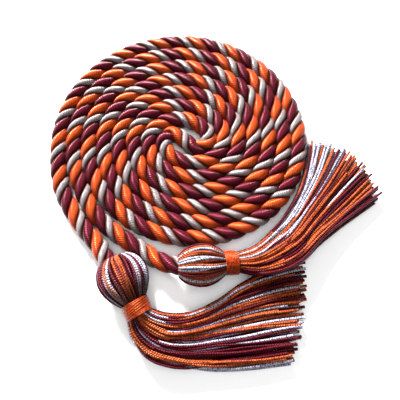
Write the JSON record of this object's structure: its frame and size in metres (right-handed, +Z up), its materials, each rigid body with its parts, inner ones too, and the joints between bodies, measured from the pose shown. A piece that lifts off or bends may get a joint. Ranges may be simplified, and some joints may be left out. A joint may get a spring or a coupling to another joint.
{
  "type": "honor cord",
  "caption": "Honor cord of twisted satin strands laid flat as a double spiral, each free end set in a wound-neck tassel whose yarn skirt fans out beside the coil.",
  "frame": {"origin": "on the table under the middle of the coil's S bend", "axes": "+Z up off the table, +X to the picture's right, +Y away from the viewer"},
  "size_m": [0.1549, 0.1625, 0.0162],
  "materials": {
    "cord": "satin twisted strands in orange, maroon and silver grey",
    "tassel": "satin yarns in orange, maroon and silver grey",
    "binding": "satin orange thread"
  },
  "bodies": {
    "root": {"cord": "cord", "tassel_1": "tassel", "binding_1": "binding", "tassel_2": "tassel", "binding_2": "binding"}
  },
  "joints": []
}
